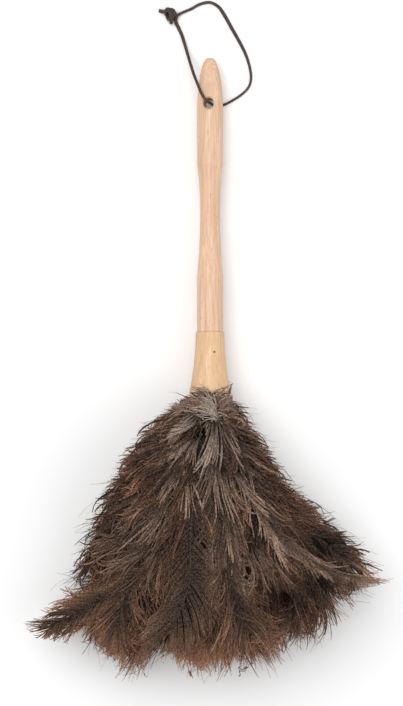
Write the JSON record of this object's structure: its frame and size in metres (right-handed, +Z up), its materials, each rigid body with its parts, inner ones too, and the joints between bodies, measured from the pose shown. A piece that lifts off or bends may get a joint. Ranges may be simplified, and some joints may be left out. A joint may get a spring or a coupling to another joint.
{
  "type": "feather duster",
  "caption": "Hand duster with a turned wooden handle, a flared wooden collar, a head of soft ostrich plumes and a leather hanging loop.",
  "frame": {"origin": "the surface that the duster lies on, under the middle of its box, with the loop and its knot left out", "axes": "+Y along the duster to the butt of the handle, +Z up from the surface, +X to the right"},
  "size_m": [0.2903, 0.5443, 0.1103],
  "materials": {
    "beech": "satin",
    "pale_wood": "satin",
    "brad_steel": "satin",
    "waxed_thread": "matte",
    "lace_leather": "satin",
    "plume": "matte"
  },
  "bodies": {
    "duster": {"handle": "beech", "collar": "pale_wood", "collar_brad": "brad_steel", "binding_inner": "waxed_thread", "binding_middle": "waxed_thread", "binding_outer": "waxed_thread", "inner_plume_01": "plume", "inner_plume_02": "plume", "inner_plume_03": "plume", "inner_plume_04": "plume", "inner_plume_05": "plume", "inner_plume_06": "plume", "inner_plume_07": "plume", "inner_plume_08": "plume", "inner_plume_09": "plume", "inner_plume_10": "plume", "inner_plume_11": "plume", "inner_plume_12": "plume", "middle_plume_01": "plume", "middle_plume_02": "plume", "middle_plume_03": "plume", "middle_plume_04": "plume", "middle_plume_05": "plume", "middle_plume_06": "plume", "middle_plume_07": "plume", "middle_plume_08": "plume", "middle_plume_09": "plume", "middle_plume_10": "plume", "middle_plume_11": "plume", "middle_plume_12": "plume", "middle_plume_13": "plume", "middle_plume_14": "plume", "outer_plume_01": "plume", "outer_plume_02": "plume", "outer_plume_03": "plume", "outer_plume_04": "plume", "outer_plume_05": "plume", "outer_plume_06": "plume", "outer_plume_07": "plume", "outer_plume_08": "plume", "outer_plume_09": "plume", "outer_plume_10": "plume", "outer_plume_11": "plume", "outer_plume_12": "plume", "outer_plume_13": "plume", "outer_plume_14": "plume", "outer_plume_15": "plume", "outer_plume_16": "plume", "outer_plume_17": "plume", "outer_plume_18": "plume", "outer_plume_19": "plume", "outer_plume_20": "plume"},
    "loop": {"lace": "lace_leather", "knot": "lace_leather"}
  },
  "joints": [
    {"name": "loop_swing", "type": "hinge", "parent": "duster", "child": "loop", "pos_m": [0.0026, 0.2123, 0.0131], "axis": [0, 0, 1], "range_deg": [0, 75]}
  ]
}
